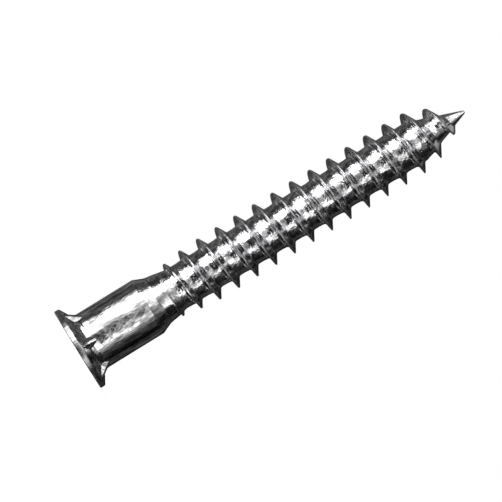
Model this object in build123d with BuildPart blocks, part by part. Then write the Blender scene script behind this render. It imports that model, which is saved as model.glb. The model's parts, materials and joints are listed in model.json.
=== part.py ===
from build123d import *
import math
import os

os.makedirs("parts", exist_ok=True)

# Driving dimensions in millimetres. The screw stands on its flat head: the origin is the middle of the
# head's face, and +Z runs along the axis to the point.

# Head
length = 50.0
head_diameter = 9.8
rim_height = 0.6
head_cone_height = 0.86
head_root_round = 1.0

# Plain shank, then the shoulder in three tapers down to the core
shank_diameter = 6.8
shank_end = 9.05
shoulder_diameter = 5.74
shoulder_height = 1.25
ring_diameter = 5.36
ring_height = 1.2
core_diameter = 4.84
lead_height = 1.1

# Conical point
point_length = 6.25
tip_diameter = 0.34

# Right-hand thread with a sharp crest, a steep flank towards the head and a sloping flank towards the point
thread_diameter = 7.05
thread_pitch = 2.404
head_flank_angle = 8.0
point_flank_angle = 30.0
thread_start = 11.0
thread_start_angle = -74.0
thread_end_gap = 1.7
thread_end_bury = 0.06
thread_sink_share = 0.3
run_in_turns = 2.0
run_out_turns = 0.6
sections_per_turn = 16

# Ribs in the corner under the head: straight ridges with a flat top and sloping sides, one of them at -Y
rib_count = 6
rib_start_angle = -90.0
rib_rim_gap = 0.2
rib_shank_reach = 0.9
rib_top_width = 0.38
rib_side_angle = 45.0
rib_bury = 0.2

# Hexagon socket in the head's face
socket_width = 4.0
socket_depth = 3.0
socket_lead_in = 0.35
socket_floor_height = 1.0

head_radius = head_diameter / 2
shank_radius = shank_diameter / 2
core_radius = core_diameter / 2
thread_height = (thread_diameter - core_diameter) / 2
head_root = rim_height + head_cone_height
shoulder_end = shank_end + shoulder_height
ring_end = shoulder_end + ring_height
core_start = ring_end + lead_height
point_start = length - point_length
thread_turns = (length - thread_end_gap - thread_start) / thread_pitch


def body_radius(z):
    """Radius of the plain body under the thread."""
    stations = [
        (shank_end, shank_radius),
        (shoulder_end, shoulder_diameter / 2),
        (ring_end, ring_diameter / 2),
        (core_start, core_radius),
        (point_start, core_radius),
        (length, tip_diameter / 2),
    ]
    for (low, low_radius), (high, high_radius) in zip(stations, stations[1:]):
        if z <= high:
            break
    return low_radius + (high_radius - low_radius) * (z - low) / (high - low)


def crest_height(turn):
    """Height of the thread above the body. It comes out of the shoulder, and goes under again at the tip."""
    rise = math.sqrt(min(turn / run_in_turns, 1))
    fade = min((thread_turns - turn) / run_out_turns, 1)
    return (thread_height + thread_end_bury) * min(rise, fade) - thread_end_bury


def thread_outline(turn):
    """Section of the thread in a plane through the axis, as (radius, z) points from one root over the
    crest to the other. Where the thread is low, the flank on the point's side keeps its place."""
    head_slope = math.tan(math.radians(head_flank_angle))
    point_slope = math.tan(math.radians(point_flank_angle))
    height = crest_height(turn)
    crest_z = thread_start + thread_pitch * turn + point_slope * (thread_height - height)
    root = body_radius(crest_z) * (1 - thread_sink_share)
    crest = body_radius(crest_z) + height
    return [
        (root, crest_z - head_slope * (crest - root)),
        (crest, crest_z),
        (root, crest_z + point_slope * (crest - root)),
    ]


def thread_plane(turn):
    """Plane through the axis at this point of the thread, with X outwards and Y along the screw."""
    angle = math.radians(thread_start_angle) + math.tau * turn
    outwards = (math.cos(angle), math.sin(angle), 0)
    backwards = (math.sin(angle), -math.cos(angle), 0)
    return Plane((0, 0, 0), x_dir=outwards, z_dir=backwards)


# Rib: its top runs straight from the head's cone to the shank, and on into the body at both ends. Its foot
# reaches through the corner between the two.
cone = Vector(shank_radius - head_radius, 0, head_cone_height).normalized()
corner = Vector(shank_radius, 0, head_root)
rib_outer = Vector(head_radius, 0, rim_height) + cone * rib_rim_gap
rib_inner = Vector(shank_radius, 0, head_root + rib_shank_reach)
rib_run = (rib_inner - rib_outer).normalized()
rib_depth = (corner - rib_outer).cross(rib_run).length + rib_bury
rib_foot_width = rib_top_width + 2 * rib_depth / math.tan(math.radians(rib_side_angle))

with BuildPart() as rib:
    with BuildSketch(Plane(rib_outer - rib_run * rib_bury, x_dir=(0, -1, 0), z_dir=rib_run)):
        Trapezoid(rib_foot_width, rib_depth, rib_side_angle, align=(Align.CENTER, Align.MAX))
    extrude(amount=(rib_inner - rib_outer).length + 2 * rib_bury)

# Screw: head, shank, shoulder, core and point are one turned outline
with BuildPart() as screw:
    with BuildSketch(Plane.XZ):
        with BuildLine():
            outline = FilletPolyline(
                (0, 0),
                (head_radius, 0),
                (head_radius, rim_height),
                (shank_radius, head_root),
                (shank_radius, shank_end),
                (shoulder_diameter / 2, shoulder_end),
                (ring_diameter / 2, ring_end),
                (core_radius, core_start),
                (core_radius, point_start),
                (tip_diameter / 2, length),
                (0, length),
                radius=[0, 0, head_root_round, 0, 0, 0, 0, 0, 0],
            )
            Line(outline @ 1, outline @ 0)
        make_face()
    revolve(axis=Axis.Z)

    with PolarLocations(0, rib_count, start_angle=rib_start_angle):
        add(rib.part)

    # Hexagon socket with a lead-in at the mouth and a conical floor
    with BuildSketch():
        RegularPolygon(socket_width / 2, 6, major_radius=False)
    extrude(amount=socket_depth, mode=Mode.SUBTRACT)
    with BuildSketch(Plane.XZ):
        with BuildLine():
            Polyline(
                (0, 0),
                (socket_width / 2 + socket_lead_in, 0),
                (socket_width / 2, socket_lead_in),
                (socket_width / 2, socket_depth),
                (0, socket_depth + socket_floor_height),
                close=True,
            )
        make_face()
    revolve(axis=Axis.Z, mode=Mode.SUBTRACT)

    # Thread: sections in planes through the axis, joined by straight lines, a turn at a time
    loft_count = math.ceil(thread_turns)
    for loft_index in range(loft_count):
        for step in range(sections_per_turn + 1):
            turn = thread_turns * (loft_index + step / sections_per_turn) / loft_count
            with BuildSketch(thread_plane(turn)):
                with BuildLine():
                    Polyline(thread_outline(turn), close=True)
                make_face()
        loft(ruled=True)

screw.part.label = "screw"
export_step(screw.part, "parts/screw.step")
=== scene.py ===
import json
import math

import bmesh
import bpy
from mathutils import Matrix, Vector


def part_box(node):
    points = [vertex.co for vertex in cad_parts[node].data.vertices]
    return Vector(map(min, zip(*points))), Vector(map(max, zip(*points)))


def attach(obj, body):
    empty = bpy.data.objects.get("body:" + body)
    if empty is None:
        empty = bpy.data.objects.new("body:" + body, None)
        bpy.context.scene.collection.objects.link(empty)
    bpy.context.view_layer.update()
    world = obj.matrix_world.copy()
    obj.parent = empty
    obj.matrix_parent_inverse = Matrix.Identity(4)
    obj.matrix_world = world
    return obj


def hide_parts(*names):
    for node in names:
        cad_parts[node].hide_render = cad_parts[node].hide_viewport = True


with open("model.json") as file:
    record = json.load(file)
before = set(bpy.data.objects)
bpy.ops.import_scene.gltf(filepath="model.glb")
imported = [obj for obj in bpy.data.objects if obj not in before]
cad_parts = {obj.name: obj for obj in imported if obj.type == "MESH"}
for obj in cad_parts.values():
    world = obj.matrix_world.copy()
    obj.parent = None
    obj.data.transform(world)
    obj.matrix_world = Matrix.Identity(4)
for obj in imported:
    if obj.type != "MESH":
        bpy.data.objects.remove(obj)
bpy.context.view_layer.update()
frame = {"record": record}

# Sizes in metres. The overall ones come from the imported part, the rest are written in millimetres.
MM = 0.001
low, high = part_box("screw")
mounts = {mount["name"]: mount for mount in frame["record"]["mounts"]}

LENGTH = high.z - low.z
HEAD_RADIUS = min(-low.x, high.x, -low.y, high.y)
SHANK_RADIUS = mounts["shank"]["dims"]["r_mm"] * MM
THREAD_RADIUS = mounts["thread"]["dims"]["r_mm"] * MM

# Head
RIM_HEIGHT = 0.6 * MM
RIM_ROUND = 0.14 * MM
HEAD_ROOT = 1.46 * MM
HEAD_ROOT_ROUND = 0.55 * MM

# Shank, shoulder, core and point, as radii and stations along the axis
SHANK_END = 9.05 * MM
SHOULDER_RADIUS = 2.87 * MM
SHOULDER_END = 10.3 * MM
RING_RADIUS = 2.68 * MM
RING_END = 11.5 * MM
CORE_RADIUS = 2.42 * MM
CORE_START = 12.6 * MM
POINT_START = 43.75 * MM
TIP_RADIUS = 0.17 * MM
SHANK_END_ROUND = 0.12 * MM
SHOULDER_ROUND = 0.2 * MM
TIP_ROUND = 0.13 * MM
BODY_STATIONS = [
    (SHANK_END, SHANK_RADIUS),
    (SHOULDER_END, SHOULDER_RADIUS),
    (RING_END, RING_RADIUS),
    (CORE_START, CORE_RADIUS),
    (POINT_START, CORE_RADIUS),
    (LENGTH, TIP_RADIUS),
]

# Thread
PITCH = 2.404 * MM
THREAD_START = 11.0 * MM
THREAD_START_ANGLE = math.radians(-74)
THREAD_END_GAP = 1.7 * MM
THREAD_LAND = 0.15 * MM
HEAD_FLANK_ANGLE = math.radians(8)
POINT_FLANK_ANGLE = math.radians(29)
RUN_IN_TURNS = 2.0
RUN_OUT_TURNS = 0.6
CORE_RISE = 0.075 * MM
HEAD_SIDE_ROUND = 0.22 * MM
POINT_SIDE_ROUND = 0.18 * MM
CREST_ROUND = 0.055 * MM
HEAD_FLANK_SLOPE = 1 / math.tan(HEAD_FLANK_ANGLE)
POINT_FLANK_SLOPE = 1 / math.tan(POINT_FLANK_ANGLE)
THREAD_HEIGHT = THREAD_RADIUS - CORE_RADIUS
THREAD_TURNS = (LENGTH - THREAD_END_GAP - THREAD_START) / PITCH

# One pitch of the thread: places along the axis, from the middle of the crest
CREST_LOW = -THREAD_LAND / 2
CREST_HIGH = THREAD_LAND / 2
FLANK_LOW = CREST_LOW - THREAD_HEIGHT / HEAD_FLANK_SLOPE
FLANK_HIGH = CREST_HIGH + THREAD_HEIGHT / POINT_FLANK_SLOPE
PITCH_HIGH = (FLANK_HIGH + PITCH + FLANK_LOW) / 2
PITCH_LOW = PITCH_HIGH - PITCH
PITCH_KNOTS = [PITCH_LOW, FLANK_LOW, CREST_LOW, CREST_HIGH, FLANK_HIGH, PITCH_HIGH]

# The wound surface of core and thread has spare turns at both ends. It is cut off square at these stations
# and joined across a small gap to the turned ends.
WOUND_LOW = 11.0 * MM
WOUND_HIGH = 49.2 * MM
JOINING_GAP = 0.12 * MM
LEAD_TURNS = 1
TAIL_TURNS = 1

# Ribs under the head
RIB_COUNT = 6
RIB_START_ANGLE = math.radians(-90)
RIB_RIM_GAP = 0.2 * MM
RIB_SHANK_REACH = 0.9 * MM
RIB_TOP_WIDTH = 0.38 * MM
RIB_SIDE_SLOPE = 1.0
RIB_EDGE_ROUND = 0.08 * MM
RIB_BURY = 0.2 * MM

# Hexagon socket
SOCKET_WIDTH = 4.0 * MM
SOCKET_MOUTH_RADIUS = 2.35 * MM
SOCKET_LEAD_IN = 0.2 * MM
SOCKET_DEPTH = 3.0 * MM
SOCKET_FLOOR = 4.0 * MM
SOCKET_SIDES = 6

# Fineness of the mesh: runs longer than these are divided
TURNED_STEPS = 168
TURNED_LONGEST_RUN = 0.6 * MM
TURNED_RUN_CUTS = 9
WOUND_STEPS = 72
WOUND_LONGEST_RUN = 0.18 * MM
WOUND_RUN_CUTS = 4
ROUND_STEPS = 6
SHARP_ANGLE = math.radians(32)
MERGE_DISTANCE = 0.001 * MM
CUT_TOLERANCE = 0.0005 * MM
LEVEL_TOLERANCE = 0.005 * MM

# Noise patterns: stretch, scale and detail. In the zinc the stretch turns metres into millimetres and draws
# the pattern out along the axis.
PER_MM = 1 / MM
MOTTLE = ((PER_MM, PER_MM, PER_MM), 1.5, 2)
STREAKS = ((PER_MM, PER_MM, 0.3 * PER_MM), 1.7, 2)
GRAIN = ((PER_MM, PER_MM, 0.7 * PER_MM), 5, 3)
FOLDS = ((1, 1, 1), 22, 2)
NOISE_ROUGHNESS = 0.6
NOISE_MIDDLE = (0.3, 0.7)
FOLD_MIDDLE = (0.4, 0.6)

# Zinc: dark and light tone with the places of both in the noise, and what the rim, point and crest do to it
DARK_ZINC = (0.26, 0.26, 0.265, 1)
DARK_PLACE = 0.38
LIGHT_ZINC = (0.86, 0.86, 0.87, 1)
LIGHT_PLACE = 0.60
SHANK_TONE_GRAIN = 0.12
CORE_TONE_GRAIN = 0.25
RIM_SHARE = 0.75
RIM_FADE_START = 0.9 * RIM_HEIGHT
RIM_TONE = 0.4
RIM_ROUGHNESS = 0.32
POINT_SHARE = 0.7
POINT_TONE = 0.58
CREST_HEIGHTS = (0.86, 0.98)
CREST_TONES = (0.34, 0.52)
CREST_ROUGHNESS = 0.4
GLOSS = (0.15, 0.06)

# Relief of the zinc
RELIEF_DEPTH = 0.12 * MM
SHANK_RELIEF_GRAIN = 0.06
CORE_RELIEF_GRAIN = 0.14
SHANK_RELIEF = 0.36
CORE_RELIEF = 0.8
FLANK_RELIEF = 0.4
FLANK_HEIGHTS = (0.1, 0.3)
POINT_RELIEF = 0.2

# Where the photograph shows the two ends of the axis, in its pixels, and the camera
PICTURE_PIXELS = 502
HEAD_PIXEL = Vector((77.7, 349.9))
TIP_PIXEL = Vector((465.4, 110.9))
CAMERA_ELEVATION = math.radians(-3.0)
CAMERA_LENS_MM = 231
CAMERA_SENSOR_MM = 36
CAMERA_CLIP_START = 0.01
CAMERA_CLIP_END = 10

# Floor and light tent
FLOOR_HALF_WIDTH = 0.6
FLOOR_GLOW = 0.12
TENT_RADIUS = 0.35
CARD_COLUMNS = 48
CARD_ROWS = 24

# Cards of the tent: name, azimuths, elevations, strength, fades at the two sides, fades at the two ends,
# distance as a share of the tent's radius, and depth of the folds
CARDS = [
    # Cloth all round
    ("tent_upper", (-182, 2), (-90, 90), 0.118, (1, 1), (0.1, 0.1), 1, 0.8),
    ("tent_lower", (-2, 182), (-90, 90), 0.018, (1, 1), (0.1, 0.1), 1.02, 0.9),
    # Low light for the sides and the rear
    ("low_right", (58, 152), (-34, -12), 0.7, (40, 10), (8, 5), 0.97, 0.5),
    ("low_left", (-152, -98), (-34, -12), 0.65, (10, 8), (8, 5), 0.97, 0.5),
    ("low_rear", (146, 214), (-48, -27), 0.3, (12, 12), (8, 5), 0.97, 0.6),
    # Faint light on the dark side
    ("seam_right", (76, 87), (-30, 30), 0.04, (4, 4), (10, 10), 0.96, 0.9),
    ("faint_right", (104, 150), (-60, 60), 0.05, (14, 14), (20, 20), 0.95, 0.7),
    # Grey light in front
    ("grey_front", (-40, 34), (-5, 60), 0.62, (20, 20), (3, 20), 0.95, 0.1),
    ("grey_right", (-8, 80), (14, 74), 0.42, (10, 44), (12, 8), 0.94, 0.4),
    ("strip_edge", (44, 86), (-30, 1), 0.1, (8, 26), (10, 0.6), 0.93, 0.6),
    # White boxes on the left and above
    ("softbox", (-86, -13), (-80, 49), 4.0, (30, 24), (20, 8), 0.9, 0.1),
    ("softbox_top", (-50, 14), (34, 58), 1.4, (26, 14), (8, 8), 0.92, 0.1),
    ("top_left", (-34, -8), (48, 58), 1.8, (8, 6), (3, 5), 0.8, 0.1),
    ("top_right", (6, 36), (48, 58), 2.4, (6, 8), (3, 5), 0.8, 0.1),
    ("zenith", (-50, 50), (66, 88), 1.6, (20, 20), (8, 4), 0.8, 0.1),
    # Bright strip on the right
    ("strip", (9, 57), (-5, 26), 2.0, (17, 27), (3, 14), 0.9, 0.1),
    ("strip_core", (17, 47), (1, 16), 2.0, (10, 14), (2, 6), 0.88, 0.1),
    ("strip_low", (22, 56), (-75, -4), 2.2, (12, 16), (20, 3), 0.88, 0.1),
    # Dark cards in front of the boxes
    ("dark_front", (-13, 25), (-75, -2.4), 0.02, (6, 10), (10, 2), 0.84, 0.1),
    ("dark_low", (-44, 8), (-75, -20), 0.05, (12, 8), (10, 6), 0.83, 0.1),
    ("dark_side", (-112, -56), (1.4, 22), 0.05, (10, 12), (1, 6), 0.86, 0.1),
    ("dark_side_low", (-96, -56), (-34, -3.2), 0.05, (6, 12), (10, 2), 0.86, 0.1),
    # Weak light from behind
    ("rear_top", (160, 200), (35, 80), 0.38, (8, 8), (12, 10), 0.9, 0.1),
    ("rear_right", (112, 166), (25, 65), 0.09, (14, 6), (12, 12), 0.92, 0.1),
]


# Mesh helpers

def everything_in(bm):
    return bm.verts[:] + bm.edges[:] + bm.faces[:]


def verts_of(made):
    """The vertices among what an operator made."""
    return [item for item in made if isinstance(item, bmesh.types.BMVert)]


def open_edges(bm, z):
    """The open edges of a shell that lie at one height."""
    return [
        edge for edge in bm.edges
        if edge.is_boundary and all(abs(vert.co.z - z) < LEVEL_TOLERANCE for vert in edge.verts)
    ]


def round_verts(bm, verts, reach):
    """Rounds corners of a string of edges, from their reach before the corner."""
    bmesh.ops.bevel(
        bm, geom=verts, offset=reach, offset_type="OFFSET", affect="VERTICES",
        segments=ROUND_STEPS, profile=0.5, material=-1,
    )


def rounded_chain(bm, corners, longest, cuts):
    """A string of edges in the XZ plane through (radius, z, reach) corners, each rounded from its reach
    before the corner, with the long runs divided."""
    verts = [bm.verts.new((radius, 0, z)) for radius, z, reach in corners]
    for pair in zip(verts, verts[1:]):
        bm.edges.new(pair)
    for vert, (radius, z, reach) in zip(verts, corners):
        if reach:
            round_verts(bm, [vert], reach)
    runs = [edge for edge in bm.edges if edge.calc_length() > longest]
    bmesh.ops.subdivide_edges(bm, edges=runs, cuts=cuts)


def mesh_from(bm, name):
    mesh = bpy.data.meshes.new(name)
    bm.to_mesh(mesh)
    bm.free()
    return mesh


def link(name, data):
    piece = bpy.data.objects.new(name, data)
    bpy.context.scene.collection.objects.link(piece)
    return piece


# Steel: plain body

def body_run(z):
    """The straight run of the body at a height, as its lower and upper (height, radius) ends."""
    for lower_end, upper_end in zip(BODY_STATIONS, BODY_STATIONS[1:]):
        if z <= upper_end[0]:
            break
    return lower_end, upper_end


def body_slope(z):
    """Growth of the body's radius along the axis."""
    (lower, lower_radius), (upper, upper_radius) = body_run(z)
    return (upper_radius - lower_radius) / (upper - lower)


def body_radius(z):
    """Radius of the body at a height, without its small rounds."""
    lower, lower_radius = body_run(z)[0]
    return max(lower_radius + body_slope(z) * (z - lower), TIP_RADIUS)


# Steel: turned ends

def turned_shell(corners):
    """A rounded outline, turned round the axis."""
    bm = bmesh.new()
    rounded_chain(bm, corners, TURNED_LONGEST_RUN, TURNED_RUN_CUTS)
    bmesh.ops.spin(
        bm, geom=bm.verts[:] + bm.edges[:], axis=(0, 0, 1), cent=(0, 0, 0),
        angle=math.tau, steps=TURNED_STEPS, use_merge=True,
    )
    bmesh.ops.remove_doubles(bm, verts=bm.verts, dist=MERGE_DISTANCE)
    return bm


def make_head_end():
    """Head, shank and shoulder, open at the start of the wound surface."""
    low_station = WOUND_LOW - JOINING_GAP
    bm = turned_shell([
        (SOCKET_MOUTH_RADIUS, 0, 0),
        (HEAD_RADIUS, 0, RIM_ROUND),
        (HEAD_RADIUS, RIM_HEIGHT, RIM_ROUND),
        (SHANK_RADIUS, HEAD_ROOT, HEAD_ROOT_ROUND),
        (SHANK_RADIUS, SHANK_END, SHANK_END_ROUND),
        (SHOULDER_RADIUS, SHOULDER_END, SHOULDER_ROUND),
        (body_radius(low_station), low_station, 0),
    ])
    add_socket(bm)
    return bm


def make_tip_end():
    """The last of the point, beyond the wound surface."""
    high_station = WOUND_HIGH + JOINING_GAP
    return turned_shell([
        (body_radius(high_station), high_station, 0),
        (TIP_RADIUS, LENGTH, TIP_ROUND),
        (0, LENGTH, 0),
    ])


def add_socket(bm):
    """Hexagon socket: a lead-in from the round mouth, six walls and a conical floor."""
    mouth = open_edges(bm, 0)
    corner_radius = SOCKET_WIDTH / 2 / math.cos(math.pi / SOCKET_SIDES)
    turned = Matrix.Rotation(math.pi / SOCKET_SIDES, 4, "Z")
    ring = bmesh.ops.create_circle(
        bm, segments=SOCKET_SIDES, radius=corner_radius,
        matrix=Matrix.Translation((0, 0, SOCKET_LEAD_IN)) @ turned,
    )["verts"]
    sides = list({edge for vert in ring for edge in vert.link_edges})
    bmesh.ops.subdivide_edges(bm, edges=sides, cuts=TURNED_STEPS // SOCKET_SIDES - 1)
    ring_edges = [edge for edge in bm.edges if edge.is_wire]
    bmesh.ops.bridge_loops(bm, edges=mouth + ring_edges)
    walls = bmesh.ops.extrude_edge_only(bm, edges=ring_edges)["geom"]
    bmesh.ops.translate(bm, verts=verts_of(walls), vec=(0, 0, SOCKET_DEPTH - SOCKET_LEAD_IN))
    floor_edges = [item for item in walls if isinstance(item, bmesh.types.BMEdge) and item.is_boundary]
    floor = bmesh.ops.extrude_edge_only(bm, edges=floor_edges)["geom"]
    bmesh.ops.pointmerge(bm, verts=verts_of(floor), merge_co=(0, 0, SOCKET_FLOOR))


# Steel: wound surface of core and thread

def crest_share(turn):
    """Share of the full height that the thread has at this turn: it grows out of the shoulder, and goes
    down again near the tip."""
    if turn <= 0 or turn >= THREAD_TURNS:
        return 0
    rise = math.sqrt(min(turn / RUN_IN_TURNS, 1))
    return min(rise, (THREAD_TURNS - turn) / RUN_OUT_TURNS)


def spread(value, knots, places):
    """Moves a value between knots to the matching spot between their places."""
    for index in range(len(knots) - 1):
        if value <= knots[index + 1]:
            break
    part = (value - knots[index]) / (knots[index + 1] - knots[index])
    return places[index] + part * (places[index + 1] - places[index])


def wind_outline():
    """One pitch of the outline, half core and half thread, wound up the axis so that each turn meets the
    next. Each vertex keeps how far it stands out of the core and how far along the pitch it lies."""
    bm = bmesh.new()
    rounded_chain(bm, [
        (CORE_RADIUS, PITCH_LOW, 0),
        (CORE_RADIUS + CORE_RISE, FLANK_LOW, HEAD_SIDE_ROUND),
        (THREAD_RADIUS, CREST_LOW, CREST_ROUND),
        (THREAD_RADIUS, CREST_HIGH, CREST_ROUND),
        (CORE_RADIUS, FLANK_HIGH, POINT_SIDE_ROUND),
        (CORE_RADIUS, PITCH_HIGH, 0),
    ], WOUND_LONGEST_RUN, WOUND_RUN_CUTS)
    out = bm.verts.layers.float.new("out")
    along = bm.verts.layers.float.new("along")
    for vert in bm.verts:
        vert[out] = vert.co.x - CORE_RADIUS
        vert[along] = vert.co.z
    turned = Matrix.Rotation(THREAD_START_ANGLE, 3, "Z")
    bmesh.ops.rotate(bm, verts=bm.verts, cent=(0, 0, 0), matrix=turned)
    bmesh.ops.translate(bm, verts=bm.verts, vec=(0, 0, THREAD_START - PITCH * LEAD_TURNS))
    bmesh.ops.spin(
        bm, geom=bm.verts[:] + bm.edges[:], axis=(0, 0, 1), cent=(0, 0, 0),
        dvec=(0, 0, PITCH / WOUND_STEPS), angle=math.tau, steps=WOUND_STEPS, use_merge=False,
    )
    one_turn = everything_in(bm)
    for turn in range(1, LEAD_TURNS + math.ceil(THREAD_TURNS) + TAIL_TURNS):
        copied = bmesh.ops.duplicate(bm, geom=one_turn)["geom"]
        bmesh.ops.translate(bm, verts=verts_of(copied), vec=(0, 0, PITCH * turn))
    return bm


def fit_to_body(bm):
    """Fits the wound outline to the tapers, the point and the thread's run-in and run-out, and notes each
    vertex's share of the thread's height for the finish."""
    crest_wear = bm.verts.layers.float.new("crest_wear")
    out = bm.verts.layers.float["out"]
    along = bm.verts.layers.float["along"]
    for vert in bm.verts:
        base = vert.co.z - vert[along]
        share = crest_share((base - THREAD_START) / PITCH)
        height = THREAD_HEIGHT * share
        crest = (THREAD_HEIGHT - height) / POINT_FLANK_SLOPE
        slope = body_slope(base + crest)
        z = base + spread(vert[along], PITCH_KNOTS, [
            PITCH_LOW,
            crest + CREST_LOW - height / (HEAD_FLANK_SLOPE - slope),
            crest + CREST_LOW,
            crest + CREST_HIGH,
            crest + CREST_HIGH + height / (POINT_FLANK_SLOPE + slope),
            PITCH_HIGH,
        ])
        outwards = Vector((vert.co.x, vert.co.y, 0)).normalized()
        vert.co = outwards * (body_radius(z) + vert[out] * share)
        vert.co.z = z
        vert[crest_wear] = vert[out] / THREAD_HEIGHT * share


def make_thread_and_core():
    """The wound surface, cut off square and open at both ends."""
    bm = wind_outline()
    fit_to_body(bm)
    bmesh.ops.remove_doubles(bm, verts=bm.verts, dist=MERGE_DISTANCE)
    for station, side in ((WOUND_LOW, -1), (WOUND_HIGH, 1)):
        bmesh.ops.bisect_plane(
            bm, geom=everything_in(bm), dist=CUT_TOLERANCE,
            plane_co=(0, 0, station), plane_no=(0, 0, side), clear_outer=True,
        )
    return bm


# Steel: ribs

def make_ribs():
    """Straight ridges with a flat top and sloping sides, from the head's cone to the shank."""
    bm = bmesh.new()
    corner = Vector((SHANK_RADIUS, 0, HEAD_ROOT))
    rim = Vector((HEAD_RADIUS, 0, RIM_HEIGHT))
    outer = rim + (corner - rim).normalized() * RIB_RIM_GAP
    inner = corner + Vector((0, 0, RIB_SHANK_REACH))
    run = (inner - outer).normalized()
    inwards = Vector((-run.z, 0, run.x))
    depth = (corner - outer).dot(inwards) + RIB_BURY
    half_top = RIB_TOP_WIDTH / 2
    half_foot = half_top + depth / RIB_SIDE_SLOPE
    start = outer - run * RIB_BURY
    section = [
        bm.verts.new(start + inwards * down + Vector((0, aside, 0)))
        for down, aside in ((0, -half_top), (0, half_top), (depth, half_foot), (depth, -half_foot))
    ]
    for pair in zip(section, section[1:] + section[:1]):
        bm.edges.new(pair)
    round_verts(bm, section[:2], RIB_EDGE_ROUND)
    end_faces = bmesh.ops.edgeloop_fill(bm, edges=bm.edges)["faces"]
    drawn = bmesh.ops.extrude_face_region(bm, geom=end_faces, use_keep_orig=True)["geom"]
    bmesh.ops.translate(bm, verts=verts_of(drawn), vec=run * ((inner - outer).length + 2 * RIB_BURY))
    bmesh.ops.recalc_face_normals(bm, faces=bm.faces)
    turned = Matrix.Rotation(RIB_START_ANGLE, 3, "Z")
    bmesh.ops.rotate(bm, verts=bm.verts, cent=(0, 0, 0), matrix=turned)
    first_rib = everything_in(bm)
    for index in range(1, RIB_COUNT):
        copied = bmesh.ops.duplicate(bm, geom=first_rib)["geom"]
        turned = Matrix.Rotation(math.tau * index / RIB_COUNT, 3, "Z")
        bmesh.ops.rotate(bm, verts=verts_of(copied), cent=(0, 0, 0), matrix=turned)
    return bm


# Steel: the whole screw

def join_ends():
    """Head end, wound surface and tip end as one closed shell."""
    whole = bmesh.new()
    for part in (make_head_end(), make_thread_and_core(), make_tip_end()):
        part_mesh = mesh_from(part, "part")
        whole.from_mesh(part_mesh)
        bpy.data.meshes.remove(part_mesh)
    for station, other in ((WOUND_LOW, WOUND_LOW - JOINING_GAP), (WOUND_HIGH, WOUND_HIGH + JOINING_GAP)):
        bmesh.ops.bridge_loops(whole, edges=open_edges(whole, station) + open_edges(whole, other))
    bmesh.ops.remove_doubles(whole, verts=whole.verts, dist=MERGE_DISTANCE)
    bmesh.ops.recalc_face_normals(whole, faces=whole.faces)
    return whole


def make_screw():
    """The closed shell with its ribs joined on."""
    screw = link("steel_screw", mesh_from(join_ends(), "steel_screw"))
    ribs = link("ribs", mesh_from(make_ribs(), "ribs"))
    union = screw.modifiers.new("ribs", "BOOLEAN")
    union.operation = "UNION"
    union.solver = "EXACT"
    union.object = ribs
    view = bpy.context.evaluated_depsgraph_get()
    joined = bpy.data.meshes.new_from_object(screw.evaluated_get(view))
    screw.modifiers.clear()
    screw.data = joined
    joined.name = "steel_screw"
    bpy.data.objects.remove(ribs)
    joined.shade_smooth()
    joined.set_sharp_from_angle(angle=SHARP_ANGLE)
    return screw


# Shader nodes

def new_material(name):
    material = bpy.data.materials.new(name)
    material.use_nodes = True
    return material, material.node_tree


def add_noise(tree, place, pattern):
    """Noise on Object coordinates."""
    stretch, scale, detail = pattern
    mapping = tree.nodes.new("ShaderNodeMapping")
    mapping.inputs["Scale"].default_value = stretch
    tree.links.new(place.outputs["Object"], mapping.inputs["Vector"])
    noise = tree.nodes.new("ShaderNodeTexNoise")
    noise.inputs["Scale"].default_value = scale
    noise.inputs["Detail"].default_value = detail
    noise.inputs["Roughness"].default_value = NOISE_ROUGHNESS
    tree.links.new(mapping.outputs["Vector"], noise.inputs["Vector"])
    return noise.outputs["Fac"]


def add_range(tree, value, given, wanted):
    """Moves a value from the given range to the wanted one."""
    mapped = tree.nodes.new("ShaderNodeMapRange")
    mapped.inputs["From Min"].default_value, mapped.inputs["From Max"].default_value = given
    mapped.inputs["To Min"].default_value, mapped.inputs["To Max"].default_value = wanted
    tree.links.new(value, mapped.inputs["Value"])
    return mapped.outputs["Result"]


def add_mix(tree, factor, first, second):
    """Mixes numbers or the values of other nodes."""
    mixed = tree.nodes.new("ShaderNodeMix")
    mixed.data_type = "FLOAT"
    for name, value in (("Factor", factor), ("A", first), ("B", second)):
        if isinstance(value, bpy.types.NodeSocket):
            tree.links.new(value, mixed.inputs[name])
        else:
            mixed.inputs[name].default_value = value
    return mixed.outputs["Result"]


def add_attribute(tree, name):
    attribute = tree.nodes.new("ShaderNodeAttribute")
    attribute.attribute_name = name
    return attribute.outputs["Fac"]


# Steel: zinc finish

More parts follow.
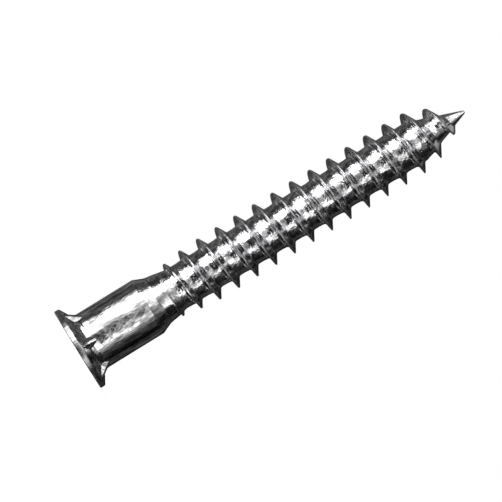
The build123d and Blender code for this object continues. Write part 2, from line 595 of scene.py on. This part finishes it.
def zinc_material():
    """Bright zinc plate: drawn streaks on the head and shank, mottled on the rolled core and thread, smoother
    on the point, and duller on the rim and the thread's crest."""
    material, tree = new_material("zinc_plate")
    shader = tree.nodes["Principled BSDF"]
    shader.inputs["Metallic"].default_value = 1

    # Patterns, and where each applies
    place = tree.nodes.new("ShaderNodeTexCoord")
    apart = tree.nodes.new("ShaderNodeSeparateXYZ")
    tree.links.new(place.outputs["Object"], apart.inputs["Vector"])
    station = apart.outputs["Z"]
    crest_wear = add_attribute(tree, "crest_wear")
    grain = add_noise(tree, place, GRAIN)
    rolled = add_range(tree, station, (SHANK_END, CORE_START), (0, 1))
    pointed = add_range(tree, station, (POINT_START, WOUND_HIGH), (0, 1))
    rim = add_range(tree, station, (RIM_FADE_START, RIM_HEIGHT), (RIM_SHARE, 0))
    flank = add_range(tree, crest_wear, FLANK_HEIGHTS, (0, 1))
    crest = add_range(tree, crest_wear, CREST_HEIGHTS, (0, 1))
    uneven = add_mix(tree, rolled, add_noise(tree, place, STREAKS), add_noise(tree, place, MOTTLE))

    # Tone
    tone_grain = add_mix(tree, rolled, SHANK_TONE_GRAIN, CORE_TONE_GRAIN)
    patches = add_mix(tree, tone_grain, uneven, grain)
    pressed = add_mix(tree, rim, patches, RIM_TONE)
    plain = add_mix(tree, add_range(tree, pointed, (0, 1), (0, POINT_SHARE)), pressed, POINT_TONE)
    dulled = add_range(tree, grain, NOISE_MIDDLE, CREST_TONES)
    tone = tree.nodes.new("ShaderNodeValToRGB")
    dark, light = tone.color_ramp.elements
    dark.position, dark.color = DARK_PLACE, DARK_ZINC
    light.position, light.color = LIGHT_PLACE, LIGHT_ZINC
    tree.links.new(add_mix(tree, crest, plain, dulled), tone.inputs["Fac"])
    tree.links.new(tone.outputs["Color"], shader.inputs["Base Color"])

    # Gloss
    relief_grain = add_mix(tree, rolled, SHANK_RELIEF_GRAIN, CORE_RELIEF_GRAIN)
    surface = add_mix(tree, relief_grain, uneven, grain)
    matt = add_mix(tree, rim, add_range(tree, surface, NOISE_MIDDLE, GLOSS), RIM_ROUGHNESS)
    tree.links.new(add_mix(tree, crest, matt, CREST_ROUGHNESS), shader.inputs["Roughness"])

    # Relief
    rough = add_mix(tree, flank, add_mix(tree, rolled, SHANK_RELIEF, CORE_RELIEF), FLANK_RELIEF)
    relief = tree.nodes.new("ShaderNodeBump")
    relief.inputs["Distance"].default_value = RELIEF_DEPTH
    tree.links.new(add_mix(tree, pointed, rough, POINT_RELIEF), relief.inputs["Strength"])
    tree.links.new(surface, relief.inputs["Height"])
    tree.links.new(relief.outputs["Normal"], shader.inputs["Normal"])
    return material


# Camera

def add_camera():
    """Camera square to the axis, rolled and aimed so that both ends fall on their pixels."""
    across = TIP_PIXEL - HEAD_PIXEL
    pixels_per_metre = across.length / LENGTH
    roll = math.atan2(-across.y, across.x)
    back = Vector((0, -math.cos(CAMERA_ELEVATION), math.sin(CAMERA_ELEVATION)))
    level = Vector((1, 0, 0))
    upright = back.cross(level)
    right = upright * math.cos(roll) + level * math.sin(roll)
    up = upright * math.sin(roll) - level * math.cos(roll)
    picture_centre = Vector((PICTURE_PIXELS / 2, PICTURE_PIXELS / 2))
    offset = ((HEAD_PIXEL + TIP_PIXEL) / 2 - picture_centre) / pixels_per_metre
    aim = Vector((0, 0, LENGTH / 2)) - right * offset.x + up * offset.y
    distance = PICTURE_PIXELS / pixels_per_metre * CAMERA_LENS_MM / CAMERA_SENSOR_MM
    data = bpy.data.cameras.new("camera")
    data.lens = CAMERA_LENS_MM
    data.sensor_width = CAMERA_SENSOR_MM
    data.clip_start = CAMERA_CLIP_START
    data.clip_end = CAMERA_CLIP_END
    camera = link("camera", data)
    placed = Matrix((right, up, back)).transposed().to_4x4()
    placed.translation = aim + back * distance
    camera.matrix_world = placed
    bpy.context.scene.camera = camera


# Floor and world

def floor_material():
    """White paper with a faint glow, so that only the screw's own shadow is darker than the background."""
    material, tree = new_material("floor_paper")
    tree.nodes.clear()
    paper = tree.nodes.new("ShaderNodeBsdfDiffuse")
    paper.inputs["Color"].default_value = (1, 1, 1, 1)
    glow = tree.nodes.new("ShaderNodeEmission")
    glow.inputs["Strength"].default_value = FLOOR_GLOW
    bright = tree.nodes.new("ShaderNodeAddShader")
    tree.links.new(paper.outputs["BSDF"], bright.inputs[0])
    tree.links.new(glow.outputs["Emission"], bright.inputs[1])
    output = tree.nodes.new("ShaderNodeOutputMaterial")
    tree.links.new(bright.outputs["Shader"], output.inputs["Surface"])
    return material


def add_floor():
    bm = bmesh.new()
    bmesh.ops.create_grid(bm, x_segments=1, y_segments=1, size=FLOOR_HALF_WIDTH)
    floor = link("floor", mesh_from(bm, "floor"))
    floor.data.materials.append(floor_material())
    floor.visible_glossy = False


def add_world():
    world = bpy.data.worlds.new("world")
    world.use_nodes = True
    background = world.node_tree.nodes["Background"]
    background.inputs["Color"].default_value = (1, 1, 1, 1)
    background.inputs["Strength"].default_value = 1
    bpy.context.scene.world = world


# Light tent

def card_material(name, strength, fold):
    """Glowing cloth with uneven folds, which fades to clear where its mesh says so."""
    material, tree = new_material(name)
    tree.nodes.clear()
    place = tree.nodes.new("ShaderNodeTexCoord")
    strengths = (strength * (1 - fold), strength * (1 + fold))
    uneven = add_range(tree, add_noise(tree, place, FOLDS), FOLD_MIDDLE, strengths)
    glow = tree.nodes.new("ShaderNodeEmission")
    tree.links.new(uneven, glow.inputs["Strength"])
    clear = tree.nodes.new("ShaderNodeBsdfTransparent")
    faded = tree.nodes.new("ShaderNodeMixShader")
    tree.links.new(add_attribute(tree, "cover"), faded.inputs["Fac"])
    tree.links.new(clear.outputs["BSDF"], faded.inputs[1])
    tree.links.new(glow.outputs["Emission"], faded.inputs[2])
    output = tree.nodes.new("ShaderNodeOutputMaterial")
    tree.links.new(faded.outputs["Shader"], output.inputs["Surface"])
    return material


def fade_in(value, ends, fades):
    """Goes from 0 at the ends of a range to 1 inside it, over the fade at either end."""
    nearest = min((value - ends[0]) / fades[0], (ends[1] - value) / fades[1], 1)
    return nearest * nearest * (3 - 2 * nearest)


def add_card(name, azimuths, elevations, strength, side_fades, end_fades, distance, fold):
    """A curved card of the light tent, which only reflections see. Azimuth is from the camera's side
    towards +X, elevation from level upwards, fades from the card's edges inwards, all in degrees."""
    bm = bmesh.new()
    cover = bm.verts.layers.float.new("cover")
    half = 0.5
    bmesh.ops.create_grid(bm, x_segments=CARD_COLUMNS, y_segments=CARD_ROWS, size=half)
    for vert in bm.verts:
        azimuth = azimuths[0] + (azimuths[1] - azimuths[0]) * (vert.co.x + half)
        elevation = elevations[0] + (elevations[1] - elevations[0]) * (vert.co.y + half)
        vert[cover] = fade_in(azimuth, azimuths, side_fades) * fade_in(elevation, elevations, end_fades)
        level = TENT_RADIUS * distance * math.cos(math.radians(elevation))
        vert.co = Vector((
            level * math.sin(math.radians(azimuth)),
            -level * math.cos(math.radians(azimuth)),
            LENGTH / 2 + TENT_RADIUS * distance * math.sin(math.radians(elevation)),
        ))
    card = link(name, mesh_from(bm, name))
    card.data.materials.append(card_material(name, strength, fold))
    card.visible_camera = False
    card.visible_diffuse = False
    card.visible_shadow = False


screw = make_screw()
screw.data.materials.clear()
screw.data.materials.append(zinc_material())
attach(screw, "root")
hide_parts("screw")

add_camera()
add_floor()
add_world()
for card in CARDS:
    add_card(*card)

bpy.context.scene.view_settings.view_transform = "Standard"
